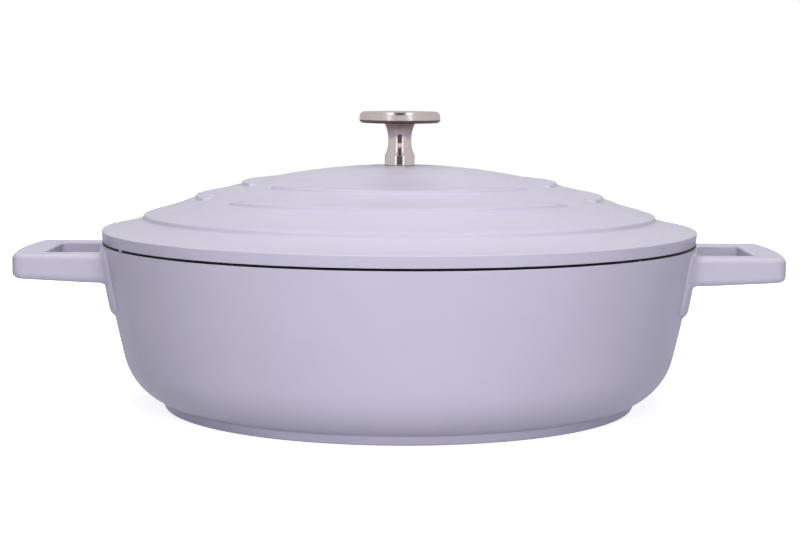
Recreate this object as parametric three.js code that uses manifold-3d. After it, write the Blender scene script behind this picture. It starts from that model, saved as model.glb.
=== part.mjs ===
// Lidded shallow casserole: a cast dish with two loop handles, a stepped dome lid and a steel knob.
// Millimetres, +Z up. The origin is the centre of the base, the handles lie along X, the front faces -Y.
import * as THREE from 'three';
import { mergeVertices } from 'three/addons/utils/BufferGeometryUtils.js';
import Module from 'manifold-3d';

const wasm = await Module();
wasm.setup();

// Fits
const SEAT_GAP = 0.3; // between pieces that rest on each other
const LID_PLAY = 2; // radial play of the lid's skirt inside the lined rim
const SCREW_PLAY = 0.4; // radial play round the screw's shank

// Dish: foot, rounded lower corner, bowed wall
const RIM_RADIUS = 160;
const RIM_HEIGHT = 88.3;
const SHOULDER_RADIUS = 148.45; // where the wall runs into the lower corner
const SHOULDER_HEIGHT = 27.6;
const WALL_BOW = 0.8;
const CORNER_BOW = 3.7;
const FOOT_RADIUS = 128.5; // at the crease where the foot meets the corner
const FOOT_HEIGHT = 4.9;
const FOOT_TAPER = 2.2;
const WALL_THICKNESS = 4;
const FLOOR_THICKNESS = 6.7;
const FLOOR_CORNER_INSET = 11.8; // flat of the floor ends this far inside the foot
const FLOOR_CORNER_BOW = 6.1;
const LINING_THICKNESS = 0.6;
const RIM_BEAD = 0.8; // lining drawn over the rim

// Perforated plate in the base
const PLATE_MARGIN = 10; // width of the foot's flat round the plate
const PLATE_THICKNESS = 2.2;
const PLATE_HOLE_RADIUS = 5;
const PLATE_HOLE_RINGS = 2;
const PLATE_HOLES_PER_RING = 8; // in the innermost ring, and added again in each further one

// Loop handles
const HANDLE_REACH = 46; // beyond the rim
const HANDLE_WIDTH = 90;
const HANDLE_THICKNESS = 12.8; // at the outer bar
const HANDLE_ROOT_DROP = 2.3; // underside falls by this much towards the wall
const HANDLE_BELOW_RIM = 4.1;
const GRIP_BAR = 17.3;
const ARM_WIDTH = 15;
const HANDLE_CORNER = 7.5;
const HANDLE_HOLE_CORNER = 6;
const HANDLE_END_BOW = 1.8;
const HANDLE_EDGE = 2.6;
const PAD_PROUD = 2.2;
const PAD_BELOW_RIM = 2.4;
const PAD_HEIGHT = 34;
const PAD_CORNER = 8;

// Lid
const LID_OVERHANG = 0.5;
const LID_BAND = 5.9; // height of the lid's edge
const LID_EDGE_ROUND = 1.8;
const LID_WALL = 3.5;
const DOME_RISE = 38.7;
const RIM_LIP = 4.5; // the edge stands this far over the dome
const RIM_LIP_RUN = 21;
const SKIRT_DEPTH = 5;
const SKIRT_WIDTH = 3;
const RISER = 1.6; // plan width of a step's face
const OUTER_STEP_INSET = 21.6; // from the lid's edge
const OUTER_STEP_LIP = 2.2;
const OUTER_STEP_RUN = 20;
const MIDDLE_STEP_INSET = 49.5;
const MIDDLE_STEP_LIP = 1.85;
const MIDDLE_STEP_RUN = 18;
const INNER_STEP_INSET = 74.5;
const INNER_STEP_LIP = 2;
const INNER_STEP_RUN = 16;
const STEP_GAP_ANGLE = 16; // degrees between the arcs of a broken step
const STEP_END_ANGLE = 2; // degrees over which an arc dies out
const DRIP_RIDGE = 1.5;
const DRIP_RIDGE_WIDTH = 7;

// Knob and its fixing
const KNOB_SEAT_RADIUS = 10;
const STEM_BASE_RADIUS = 8.3;
const STEM_COLLAR_HEIGHT = 5;
const STEM_WAIST_RADIUS = 6.3;
const STEM_NECK_RADIUS = 8.8;
const STEM_HEIGHT = 22.3;
const SPIGOT_RADIUS = 4;
const SPIGOT_HEIGHT = 3;
const DISC_RADIUS = 22;
const DISC_THICKNESS = 6;
const DISC_EDGE = 1.4;
const SCREW_RADIUS = 2.5;
const SCREW_GRIP = 12; // length of shank inside the stem
const SCREW_HEAD_RADIUS = 4.8;
const SCREW_HEAD_HEIGHT = 3.2;
const WASHER_RADIUS = 7;
const WASHER_THICKNESS = 1.2;

// Facets
const DISH_SEGMENTS = 56;
const KNOB_SEGMENTS = 32;
const SCREW_SEGMENTS = 16;
const HOLE_SEGMENTS = 8;
const CORNER_STEPS = 4;
const WALL_STEPS = 3;
const ARC_STEPS = 15; // across one arc of a broken step
const GAP_STEPS = 3; // across the plain stretch between two arcs

// Heights and radii that follow from the sizes above
const BEAD_HEIGHT = RIM_HEIGHT + SEAT_GAP + RIM_BEAD;
const LID_SEAT = BEAD_HEIGHT + SEAT_GAP;
const LID_RADIUS = RIM_RADIUS + LID_OVERHANG;
const LID_EDGE_HEIGHT = LID_SEAT + LID_BAND;
const DOME_BASE = LID_EDGE_HEIGHT - RIM_LIP;
const DOME_RADIUS = (LID_RADIUS ** 2 + DOME_RISE ** 2) / (2 * DOME_RISE);
const LINED_RIM_RADIUS = RIM_RADIUS - WALL_THICKNESS - SEAT_GAP - LINING_THICKNESS;
const SKIRT_RADIUS = LINED_RIM_RADIUS - LID_PLAY;
const SKIRT_INNER_RADIUS = SKIRT_RADIUS - SKIRT_WIDTH;
const SCREW_HOLE_RADIUS = SCREW_RADIUS + SCREW_PLAY;
const PLATE_RADIUS = FOOT_RADIUS - FOOT_TAPER - PLATE_MARGIN - SEAT_GAP;
const STEPS = [
  { radius: LID_RADIUS - OUTER_STEP_INSET, lip: OUTER_STEP_LIP, run: OUTER_STEP_RUN, broken: false },
  { radius: LID_RADIUS - MIDDLE_STEP_INSET, lip: MIDDLE_STEP_LIP, run: MIDDLE_STEP_RUN, broken: true },
  { radius: LID_RADIUS - INNER_STEP_INSET, lip: INNER_STEP_LIP, run: INNER_STEP_RUN, broken: true },
];
const STEP_ARCS = 3;

const point = (r, z) => new THREE.Vector2(r, z);

// Points after `from`, up to `to`, on a circular arc whose middle stands `bow` to the right of the chord.
function bowedArc(from, to, bow, steps) {
  const chord = to.clone().sub(from);
  const along = chord.clone().normalize();
  const aside = point(along.y, -along.x);
  const halfAngle = 2 * Math.atan2(2 * bow, chord.length());
  const radius = chord.length() / (2 * Math.sin(halfAngle));
  const middle = from.clone().add(to).multiplyScalar(0.5);
  return Array.from({ length: steps }, (_, i) => {
    const angle = halfAngle * ((2 * (i + 1)) / steps - 1);
    return middle
      .clone()
      .addScaledVector(along, radius * Math.sin(angle))
      .addScaledVector(aside, radius * (Math.cos(angle) - Math.cos(halfAngle)));
  });
}

// The same open profile moved sideways by a distance, to the left of its direction when positive.
function offsetProfile(points, distance) {
  const sideOf = (a, b) => point(a.y - b.y, b.x - a.x).normalize();
  return points.map((p, i) => {
    const before = sideOf(points[Math.max(i - 1, 0)], points[Math.max(i, 1)]);
    const after = sideOf(points[Math.min(i, points.length - 2)], points[Math.min(i + 1, points.length - 1)]);
    const mitre = before.clone().add(after).normalize();
    return p.clone().addScaledVector(mitre, distance / mitre.dot(before));
  });
}

// Merges shared vertices, drops slivers of zero area and turns the faces outwards.
function weld(geometry) {
  const bare = geometry.index ? geometry.toNonIndexed() : geometry.clone();
  bare.deleteAttribute('normal');
  bare.deleteAttribute('uv');
  const merged = mergeVertices(bare, 1e-4);
  const position = merged.attributes.position;
  const corner = (i) => new THREE.Vector3().fromBufferAttribute(position, i);
  let triangles = [];
  let volume = 0;
  for (let i = 0; i < merged.index.count; i += 3) {
    const [a, b, c] = [0, 1, 2].map((k) => merged.index.getX(i + k));
    if (a === b || b === c || c === a) continue;
    triangles.push([a, b, c]);
    volume += corner(a).dot(corner(b).cross(corner(c)));
  }
  if (volume < 0) triangles = triangles.map(([a, b, c]) => [a, c, b]);
  merged.setIndex(triangles.flat());
  return merged;
}

// A closed profile turned about the Z axis.
function turned(profile, segments) {
  const geometry = new THREE.LatheGeometry([...profile, profile[0]], segments);
  return weld(geometry.rotateX(Math.PI / 2));
}

// Closed sections set round the Z axis, one for each angle from the front, joined into one skin.
function turnedSections(angles, sectionAt) {
  const positions = [];
  const indices = [];
  const sections = angles.map(sectionAt);
  const size = sections[0].length;
  sections.forEach((section, i) => {
    const next = ((i + 1) % sections.length) * size;
    section.forEach((p, k) => {
      positions.push(p.x * Math.sin(angles[i]), -p.x * Math.cos(angles[i]), p.y);
      const here = i * size;
      const up = (k + 1) % size;
      indices.push(here + k, next + k, next + up, here + k, next + up, here + up);
    });
  });
  const geometry = new THREE.BufferGeometry();
  geometry.setAttribute('position', new THREE.Float32BufferAttribute(positions, 3));
  geometry.setIndex(indices);
  return weld(geometry);
}

function toSolid(geometry) {
  const welded = weld(geometry);
  return new wasm.Manifold(
    new wasm.Mesh({
      numProp: 3,
      vertProperties: new Float32Array(welded.attributes.position.array),
      triVerts: new Uint32Array(welded.index.array),
    }),
  );
}

function toGeometry(solid) {
  const mesh = solid.getMesh();
  const geometry = new THREE.BufferGeometry();
  geometry.setAttribute('position', new THREE.BufferAttribute(new Float32Array(mesh.vertProperties), 3));
  geometry.setIndex(Array.from(mesh.triVerts));
  return weld(geometry);
}

// Dish wall from its foot to its rim, outside and inside
function outerWall() {
  const crease = point(FOOT_RADIUS, FOOT_HEIGHT);
  const shoulder = point(SHOULDER_RADIUS, SHOULDER_HEIGHT);
  const rim = point(RIM_RADIUS, RIM_HEIGHT);
  return [
    crease,
    ...bowedArc(crease, shoulder, CORNER_BOW, CORNER_STEPS),
    ...bowedArc(shoulder, rim, WALL_BOW, WALL_STEPS),
  ];
}

function innerWall() {
  const floor = point(FOOT_RADIUS - FLOOR_CORNER_INSET, FLOOR_THICKNESS);
  const shoulder = point(SHOULDER_RADIUS - WALL_THICKNESS, SHOULDER_HEIGHT);
  const rim = point(RIM_RADIUS - WALL_THICKNESS, RIM_HEIGHT);
  return [
    point(0, FLOOR_THICKNESS),
    floor,
    ...bowedArc(floor, shoulder, FLOOR_CORNER_BOW, CORNER_STEPS),
    ...bowedArc(shoulder, rim, WALL_BOW, WALL_STEPS),
  ];
}

function vesselGeometry() {
  const recess = PLATE_THICKNESS + SEAT_GAP;
  return turned(
    [
      point(0, recess),
      point(PLATE_RADIUS + SEAT_GAP, recess),
      point(PLATE_RADIUS + SEAT_GAP, 0),
      point(FOOT_RADIUS - FOOT_TAPER, 0),
      ...outerWall(),
      ...innerWall().reverse(),
    ],
    DISH_SEGMENTS,
  );
}

function panLiningGeometry() {
  const backed = offsetProfile(innerWall(), SEAT_GAP);
  const bare = offsetProfile(innerWall(), SEAT_GAP + LINING_THICKNESS);
  const underBead = RIM_HEIGHT + SEAT_GAP;
  backed[backed.length - 1].y = underBead;
  bare[bare.length - 1].y = BEAD_HEIGHT;
  return turned(
    [...backed, point(RIM_RADIUS, underBead), point(RIM_RADIUS, BEAD_HEIGHT), ...bare.reverse()],
    DISH_SEGMENTS,
  );
}

// Steel disc, pierced in rings, level with the foot
function inductionPlateGeometry() {
  const disc = new THREE.Shape().absarc(0, 0, PLATE_RADIUS, 0, 2 * Math.PI);
  const pitch = PLATE_RADIUS / (PLATE_HOLE_RINGS + 0.5);
  for (let ring = 1; ring <= PLATE_HOLE_RINGS; ring++) {
    const count = ring * PLATE_HOLES_PER_RING;
    for (let i = 0; i < count; i++) {
      const angle = (2 * Math.PI * i) / count;
      const [x, y] = [ring * pitch * Math.cos(angle), ring * pitch * Math.sin(angle)];
      const corners = Array.from({ length: HOLE_SEGMENTS }, (_, k) => {
        const turn = (2 * Math.PI * k) / HOLE_SEGMENTS;
        return point(x + PLATE_HOLE_RADIUS * Math.cos(turn), y + PLATE_HOLE_RADIUS * Math.sin(turn));
      });
      disc.holes.push(new THREE.Path(corners));
    }
  }
  const options = { depth: PLATE_THICKNESS, bevelEnabled: false, curveSegments: DISH_SEGMENTS };
  return weld(new THREE.ExtrudeGeometry(disc, options));
}

// Plan of the handle from inside the wall to the bowed outer bar, with the finger hole
function handlePlan() {
  const root = SHOULDER_RADIUS / 2;
  const end = RIM_RADIUS + HANDLE_REACH;
  const side = HANDLE_WIDTH / 2;
  const cornerX = end - HANDLE_END_BOW;
  const plan = new THREE.Shape();
  plan.moveTo(root, -side);
  plan.lineTo(cornerX - HANDLE_CORNER, -side);
  plan.quadraticCurveTo(cornerX, -side, cornerX, HANDLE_CORNER - side);
  plan.quadraticCurveTo(end + HANDLE_END_BOW, 0, cornerX, side - HANDLE_CORNER);
  plan.quadraticCurveTo(cornerX, side, cornerX - HANDLE_CORNER, side);
  plan.lineTo(root, side);
  const holeEnd = end - GRIP_BAR;
  const holeSide = side - ARM_WIDTH;
  const holeRoot = (root + RIM_RADIUS - WALL_THICKNESS) / 2;
  const hole = new THREE.Path();
  hole.moveTo(holeRoot, -holeSide);
  hole.lineTo(holeRoot, holeSide);
  hole.lineTo(holeEnd - HANDLE_HOLE_CORNER, holeSide);
  hole.quadraticCurveTo(holeEnd, holeSide, holeEnd, holeSide - HANDLE_HOLE_CORNER);
  hole.lineTo(holeEnd, HANDLE_HOLE_CORNER - holeSide);
  hole.quadraticCurveTo(holeEnd, -holeSide, holeEnd - HANDLE_HOLE_CORNER, -holeSide);
  plan.holes.push(hole);
  return plan;
}

// Loop with rounded edges, thicker towards the wall
function handleLoop() {
  const top = RIM_HEIGHT - HANDLE_BELOW_RIM;
  const bottom = top - HANDLE_THICKNESS;
  const loop = new THREE.ExtrudeGeometry(handlePlan(), {
    depth: HANDLE_THICKNESS - 2 * HANDLE_EDGE,
    bevelThickness: HANDLE_EDGE,
    bevelSize: HANDLE_EDGE,
    bevelOffset: -HANDLE_EDGE,
    bevelSegments: 2,
    curveSegments: 6,
  });
  loop.translate(0, 0, bottom + HANDLE_EDGE);
  const position = loop.attributes.position;
  const middle = (top + bottom) / 2;
  for (let i = 0; i < position.count; i++) {
    const inward = (RIM_RADIUS + HANDLE_REACH - position.getX(i)) / HANDLE_REACH;
    if (position.getZ(i) < middle) position.setZ(i, position.getZ(i) - HANDLE_ROOT_DROP * inward);
  }
  return loop;
}

// Filled outside of the dish, grown by a distance and carried past foot and rim
function dishEnvelope(growth) {
  const wall = offsetProfile(outerWall(), -growth);
  const [low, high] = [wall[0], wall[wall.length - 1]];
  const above = high.y + WALL_THICKNESS;
  return turned(
    [point(0, low.y), ...wall, point(high.x, above), point(0, above)],
    2 * DISH_SEGMENTS,
  );
}

// Raised pad that spreads the handle over the wall, with round lower corners
function padPrism() {
  const side = HANDLE_WIDTH / 2;
  const top = RIM_HEIGHT - PAD_BELOW_RIM;
  const bottom = top - PAD_HEIGHT;
  const face = new THREE.Shape();
  face.moveTo(-side, top);
  face.lineTo(-side, bottom + PAD_CORNER);
  face.quadraticCurveTo(-side, bottom, PAD_CORNER - side, bottom);
  face.lineTo(side - PAD_CORNER, bottom);
  face.quadraticCurveTo(side, bottom, side, bottom + PAD_CORNER);
  face.lineTo(side, top);
  const prism = new THREE.ExtrudeGeometry(face, {
    depth: RIM_RADIUS + HANDLE_REACH,
    bevelEnabled: false,
    curveSegments: 3,
  });
  return prism.rotateX(Math.PI / 2).rotateZ(Math.PI / 2);
}

function handleGeometry() {
  const pad = toSolid(padPrism()).intersect(toSolid(dishEnvelope(PAD_PROUD)));
  const whole = toSolid(handleLoop()).add(pad);
  return toGeometry(whole.subtract(toSolid(dishEnvelope(SEAT_GAP))));
}

// Lid
const smooth = (t) => THREE.MathUtils.smoothstep(t, 0, 1);

function domeHeight(r) {
  return DOME_BASE + DOME_RISE - DOME_RADIUS + Math.sqrt(DOME_RADIUS ** 2 - r ** 2);
}

// Height of a lip that ends at `radius`: it drops over the riser and fades inwards over its run.
function lipHeight(r, radius, lip, run) {
  const inward = radius - r;
  if (inward <= 0 || inward >= run) return 0;
  return lip * smooth(inward / RISER) * (1 - inward / run) ** 1.6;
}

// 1 along the arcs of a broken step, 0 in the gaps between them
function arcShare(angle) {
  const turn = THREE.MathUtils.radToDeg(angle);
  const period = 360 / STEP_ARCS;
  const fromGap = Math.abs(THREE.MathUtils.euclideanModulo(turn, period) - period / 2);
  return smooth((fromGap - STEP_GAP_ANGLE / 2) / STEP_END_ANGLE);
}

function lidTop(r, angle) {
  const flat = Math.max(r, KNOB_SEAT_RADIUS);
  const edge = Math.max(0, 1 - (LID_RADIUS - flat) / RIM_LIP_RUN);
  let height = domeHeight(flat) + RIM_LIP * edge ** 1.6;
  for (const { radius, lip, run, broken } of STEPS) {
    height += lipHeight(flat, radius, lip, run) * (broken ? arcShare(angle) : 1);
  }
  return height;
}

// Underside: the dome at wall thickness, with a drip ridge under each broken step
const RIDGE_RADII = STEPS.filter(({ broken }) => broken).map(({ radius }) => radius);

function lidUnderside(r) {
  const flat = Math.max(r, KNOB_SEAT_RADIUS);
  const nearest = Math.min(...RIDGE_RADII.map((radius) => Math.abs(flat - radius)));
  const ridge = Math.max(0, 1 - nearest / (DRIP_RIDGE_WIDTH / 2));
  return domeHeight(flat) - LID_WALL - DRIP_RIDGE * ridge;
}

const ascending = (radii) => [...new Set(radii)].sort((a, b) => a - b);

function topRadii() {
  const edge = LID_RADIUS - LID_EDGE_ROUND;
  const stepRadii = STEPS.flatMap(({ radius, run }) => [radius, radius - RISER, radius - run / 2, radius - run]);
  const landRadii = [KNOB_SEAT_RADIUS, (KNOB_SEAT_RADIUS + STEPS[2].radius) / 2, LID_RADIUS - RIM_LIP_RUN / 2];
  const inside = [...stepRadii, ...landRadii].filter((r) => r > SCREW_HOLE_RADIUS && r < edge);
  return ascending([SCREW_HOLE_RADIUS, ...inside, edge]);
}

function undersideRadii(inner, outer) {
  const half = DRIP_RIDGE_WIDTH / 2;
  const ridges = RIDGE_RADII.flatMap((radius) => [radius - half, radius, radius + half]);
  const between = [KNOB_SEAT_RADIUS, (KNOB_SEAT_RADIUS + STEPS[2].radius) / 2];
  const inside = [...ridges, ...between].filter((r) => r > inner && r < outer);
  return ascending([inner, ...inside, outer]);
}

function lidSection(angle) {
  const edgeHeight = lidTop(LID_RADIUS - LID_EDGE_ROUND, angle);
  const slant = LID_EDGE_ROUND * (1 - Math.SQRT1_2);
  return [
    ...topRadii().map((r) => point(r, lidTop(r, angle))),
    point(LID_RADIUS - slant, edgeHeight - slant),
    point(LID_RADIUS, edgeHeight - LID_EDGE_ROUND),
    point(LID_RADIUS, LID_SEAT),
    point(SKIRT_RADIUS, LID_SEAT),
    point(SKIRT_RADIUS, LID_SEAT - SKIRT_DEPTH),
    point(SKIRT_INNER_RADIUS, LID_SEAT - SKIRT_DEPTH),
    ...undersideRadii(SCREW_HOLE_RADIUS, SKIRT_INNER_RADIUS)
      .reverse()
      .map((r) => point(r, lidUnderside(r))),
  ];
}

// Angles of the lid's sections: close together only where the arcs of the broken steps end
function lidAngles() {
  const period = 360 / STEP_ARCS;
  const half = STEP_GAP_ANGLE / 2;
  const arc = period - STEP_GAP_ANGLE - 2 * STEP_END_ANGLE;
  const third = [
    ...Array.from({ length: GAP_STEPS }, (_, i) => -half + (STEP_GAP_ANGLE * i) / GAP_STEPS),
    ...Array.from({ length: ARC_STEPS + 1 }, (_, i) => half + STEP_END_ANGLE + (arc * i) / ARC_STEPS),
    half,
  ];
  const degrees = ascending(third).flatMap((a) => {
    return Array.from({ length: STEP_ARCS }, (_, n) => period / 2 + a + n * period);
  });
  return ascending(degrees).map(THREE.MathUtils.degToRad);
}

// Thin layer under the lid, between the washer and the skirt
function lidLiningSection() {
  const radii = undersideRadii(WASHER_RADIUS + SEAT_GAP, SKIRT_INNER_RADIUS - SEAT_GAP);
  const below = (drop) => radii.map((r) => point(r, lidUnderside(r) - drop));
  return [...below(SEAT_GAP), ...below(SEAT_GAP + LINING_THICKNESS).reverse()];
}

// Knob, from the lid's flat seat upwards
const LID_CROWN = lidTop(0, 0);
const STEM_FOOT = LID_CROWN + SEAT_GAP;
const STEM_TOP = STEM_FOOT + STEM_HEIGHT;
const DISC_FOOT = STEM_TOP + SEAT_GAP;
const SCREW_TIP = STEM_FOOT + SCREW_GRIP;

function knobStemGeometry() {
  const collar = point(STEM_BASE_RADIUS, STEM_FOOT + STEM_COLLAR_HEIGHT);
  const neck = point(STEM_NECK_RADIUS, STEM_TOP);
  const waistBow = STEM_WAIST_RADIUS - (STEM_BASE_RADIUS + STEM_NECK_RADIUS) / 2;
  return turned(
    [
      point(SCREW_HOLE_RADIUS, STEM_FOOT),
      point(STEM_BASE_RADIUS, STEM_FOOT),
      collar,
      ...bowedArc(collar, neck, waistBow, 2 * CORNER_STEPS),
      point(SPIGOT_RADIUS, STEM_TOP),
      point(SPIGOT_RADIUS, STEM_TOP + SPIGOT_HEIGHT),
      point(0, STEM_TOP + SPIGOT_HEIGHT),
      point(0, SCREW_TIP + SEAT_GAP),
      point(SCREW_HOLE_RADIUS, SCREW_TIP + SEAT_GAP),
    ],
    KNOB_SEGMENTS,
  );
}

function knobDiscGeometry() {
  const socket = SPIGOT_RADIUS + SEAT_GAP;
  const socketTop = STEM_TOP + SPIGOT_HEIGHT + SEAT_GAP;
  const top = DISC_FOOT + DISC_THICKNESS;
  const upperStart = point(DISC_RADIUS, top - DISC_EDGE);
  const upperEnd = point(DISC_RADIUS - DISC_EDGE, top);
  const lowerStart = point(DISC_RADIUS - DISC_EDGE / 2, DISC_FOOT);
  const lowerEnd = point(DISC_RADIUS, DISC_FOOT + DISC_EDGE / 2);
  return turned(
    [
      point(0, socketTop),
      point(socket, socketTop),
      point(socket, DISC_FOOT),
      lowerStart,
      lowerEnd,
      upperStart,
      ...bowedArc(upperStart, upperEnd, DISC_EDGE * (1 - Math.SQRT1_2), 2),
      point(0, top),
    ],
    KNOB_SEGMENTS,
  );
}

// Fixing below the lid
const WASHER_TOP = LID_CROWN - LID_WALL - SEAT_GAP;
const HEAD_TOP = WASHER_TOP - WASHER_THICKNESS - SEAT_GAP;

function knobWasherGeometry() {
  return turned(
    [
      point(SCREW_HOLE_RADIUS, WASHER_TOP - WASHER_THICKNESS),
      point(WASHER_RADIUS, WASHER_TOP - WASHER_THICKNESS),
      point(WASHER_RADIUS, WASHER_TOP),
      point(SCREW_HOLE_RADIUS, WASHER_TOP),
    ],
    KNOB_SEGMENTS,
  );
}

function knobScrewGeometry() {
  const headEdge = point(SCREW_HEAD_RADIUS, HEAD_TOP - SCREW_HEAD_HEIGHT / 2);
  const headFlat = point(SCREW_HEAD_RADIUS / 2, HEAD_TOP - SCREW_HEAD_HEIGHT);
  return turned(
    [
      point(0, HEAD_TOP - SCREW_HEAD_HEIGHT),
      headFlat,
      headEdge,
      point(SCREW_HEAD_RADIUS, HEAD_TOP),
      point(SCREW_RADIUS, HEAD_TOP),
      point(SCREW_RADIUS, SCREW_TIP - SCREW_RADIUS / 2),
      point(SCREW_RADIUS / 2, SCREW_TIP),
      point(0, SCREW_TIP),
    ],
    SCREW_SEGMENTS,
  );
}

// Finishes
const COAT = { color: 0xc6c0da, roughness: 0.55, metalness: 0 };
const NON_STICK = { color: 0x17171a, roughness: 0.6, metalness: 0 };
const KNOB_STEEL = { color: 0xb9b0ad, roughness: 0.25, metalness: 1 };
const PLATE_STEEL = { color: 0xaeb0b3, roughness: 0.4, metalness: 1 };

function piece(name, geometry, finish) {
  const mesh = new THREE.Mesh(geometry, new THREE.MeshStandardMaterial(finish));
  mesh.name = name;
  return mesh;
}

const pan = new THREE.Group();
pan.add(piece('vessel', vesselGeometry(), COAT));
pan.add(piece('pan_lining', panLiningGeometry(), NON_STICK));
pan.add(piece('induction_plate', inductionPlateGeometry(), PLATE_STEEL));
pan.add(piece('right_handle', handleGeometry(), COAT));
const leftHandle = piece('left_handle', handleGeometry(), COAT);
leftHandle.rotation.z = Math.PI;
pan.add(leftHandle);

const lid = new THREE.Group();
lid.add(piece('lid_shell', turnedSections(lidAngles(), lidSection), COAT));
lid.add(piece('lid_lining', turnedSections(lidAngles(), lidLiningSection), NON_STICK));
lid.add(piece('knob_stem', knobStemGeometry(), KNOB_STEEL));
lid.add(piece('knob_disc', knobDiscGeometry(), KNOB_STEEL));
lid.add(piece('knob_washer', knobWasherGeometry(), PLATE_STEEL));
lid.add(piece('knob_screw', knobScrewGeometry(), PLATE_STEEL));

const casserole = new THREE.Group();
casserole.add(pan, lid);

export default casserole;
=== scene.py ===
"""Looks of a lidded shallow casserole: fine meshes over the CAD solids, materials, a studio and a camera."""

from math import acos, atan2, cos, degrees, pi, radians, sin, tan

import bmesh
import bpy
import numpy as np
from mathutils import Matrix, Vector
from numpy.linalg import norm


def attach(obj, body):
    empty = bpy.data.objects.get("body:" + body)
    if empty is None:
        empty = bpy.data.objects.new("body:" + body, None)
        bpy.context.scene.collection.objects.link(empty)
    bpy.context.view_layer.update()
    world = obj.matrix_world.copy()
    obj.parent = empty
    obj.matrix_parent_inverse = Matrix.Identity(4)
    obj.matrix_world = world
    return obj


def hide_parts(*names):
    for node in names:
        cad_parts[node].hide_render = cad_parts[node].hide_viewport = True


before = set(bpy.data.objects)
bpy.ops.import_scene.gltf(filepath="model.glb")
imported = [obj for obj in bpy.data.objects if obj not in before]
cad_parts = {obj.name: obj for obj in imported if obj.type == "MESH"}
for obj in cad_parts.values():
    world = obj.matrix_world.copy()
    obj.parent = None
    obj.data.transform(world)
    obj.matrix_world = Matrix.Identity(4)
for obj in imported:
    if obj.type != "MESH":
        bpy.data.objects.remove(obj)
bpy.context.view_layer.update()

# Sizes are in millimetres, as in the part's source; meshes are made in metres.
MM = 0.001

# Fits
SEAT_GAP = 0.3
LID_PLAY = 2.0
SCREW_PLAY = 0.4

# Dish
RIM_RADIUS = 160.0
RIM_HEIGHT = 88.3
SHOULDER_RADIUS = 148.45
SHOULDER_HEIGHT = 27.6
WALL_BOW = 0.8
CORNER_BOW = 3.7
FOOT_RADIUS = 128.5
FOOT_HEIGHT = 4.9
FOOT_TAPER = 1.2
FOOT_EDGE = 1.4
CREASE_FILLET = 0.8
WALL_THICKNESS = 4.0
FLOOR_THICKNESS = 6.7
FLOOR_CORNER_INSET = 11.8
FLOOR_CORNER_BOW = 6.1
FLOOR_RINGS = (0, 0.4, 0.8)  # shares of the flat floor's radius
RIM_EDGE = 0.7
RIM_OUTER_EDGE = 0.35
RIM_RAISED = 0.15  # of coat built up on the rim
LINING_THICKNESS = 0.6
BEAD_LOW = 0.2  # heights of the black bead above the rim
BEAD_HIGH = 1.25
BEAD_INSET = 0.05
BEAD_ROUNDNESS = 0.9  # share of half its height

# Plate in the base
PLATE_MARGIN = 11.0
PLATE_THICKNESS = 2.2
PLATE_EDGE = 0.2
PLATE_SEAT_EDGE = 0.3
PLATE_HOLE_RADIUS = 5.0
PLATE_HOLE_RINGS = 2
PLATE_HOLES_PER_RING = 8
PLATE_HOLE_MARGIN = 0.5  # outside the last ring, as a share of the pitch
PLUG_PLAY = 0.05
PLUG_EDGE = 0.15
PLUG_ROOT = 0.1  # into the dish
PLUG_RECESS = 0.2  # from the plate's face

# Loop handles
HANDLE_REACH = 46.0
HANDLE_WIDTH = 90.0
HANDLE_THICKNESS = 12.8
HANDLE_ROOT_DROP = 2.3
HANDLE_BELOW_RIM = 4.1
GRIP_BAR = 17.3
ARM_WIDTH = 15.0
HANDLE_CORNER = 7.5
HANDLE_HOLE_CORNER = 1.8
HANDLE_END_BOW = 2.8
HANDLE_EDGE = 2.6
HANDLE_LOWER_EDGE = 3.2
HANDLE_HOLE_EDGE = 1.3
HANDLE_HOLE_DRAFT = 2.0  # the finger hole is wider below
PAD_PROUD = 2.2
PAD_SINK = 0.8  # into the wall
PAD_BELOW_RIM = 1.0
PAD_HEIGHT = 35.4
PAD_CORNER = 6.0
PAD_TOP_CORNER = 4.0
PAD_EDGE = 2.2
PAD_TOP_EDGE = 7.0
PAD_FLARE = 4.4  # wider than the loop on each side
ROOT_FILLET_TOP = (0.8, 1.2)  # out from the arm, and along it
ROOT_FILLET_SIDE = (3.5, 9.0)
ROOT_FILLET_INSIDE = (3.5, 4.0)
ROOT_FILLET_BELOW = (3.0, 3.2)
ROOT_OVERLAP = 1.0  # of the loop and its longest fillet
ROOT_SETTLE = 12.0  # length over which sections turn upright

# Lid
LID_OVERHANG = 0.5
LID_FACET_LOSS = 0.26  # the solid's facets lie inside its true circle
LID_BAND = 5.9
LID_EDGE_ROUND = 0.6
LID_BAND_EDGE = 0.3
LID_BAND_DRAFT = 0.5  # the band is narrower below
LID_BAND_DROP = 0.1  # below the seat
LID_BAND_DEPTH = 1.0  # its points lie within this of the edge
LID_WALL = 3.5
DOME_RISE = 38.7
RIM_BEAD = 0.8
RIM_LIP = 4.5
RIM_LIP_RUN = 21.0
SKIRT_DEPTH = 5.0
SKIRT_WIDTH = 3.0
SKIRT_EDGE = 0.8
SKIRT_ROOT_EDGE = 0.4
SKIRT_FILLET = 1.0
RISER = 1.6
RISER_EDGE = 0.6  # rounding at its top; its foot is a cove
SHOULDER = 7.0  # length of the last part of a lip's rise
SHOULDER_SHARE = 0.2
LIP_FADE = 1.6
STEP_SIZES = (  # inset from the edge, lip, run, broken into arcs
    (21.4, 1.95, 20.0, False),
    (49.3, 1.65, 18.0, True),
    (74.3, 1.75, 16.0, True),
)
STEP_ARCS = 3
STEP_GAP_ANGLE = 16.0
STEP_END_ROUND = 3.0  # plan radius at the ends of the arcs
STEP_END_RUN = 0.4  # share of a lip's run at the ends of the arcs
STEP_END_REACH = 25.0  # from here on it is whole
DRIP_RIDGE = 1.5
DRIP_RIDGE_WIDTH = 7.0

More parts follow.
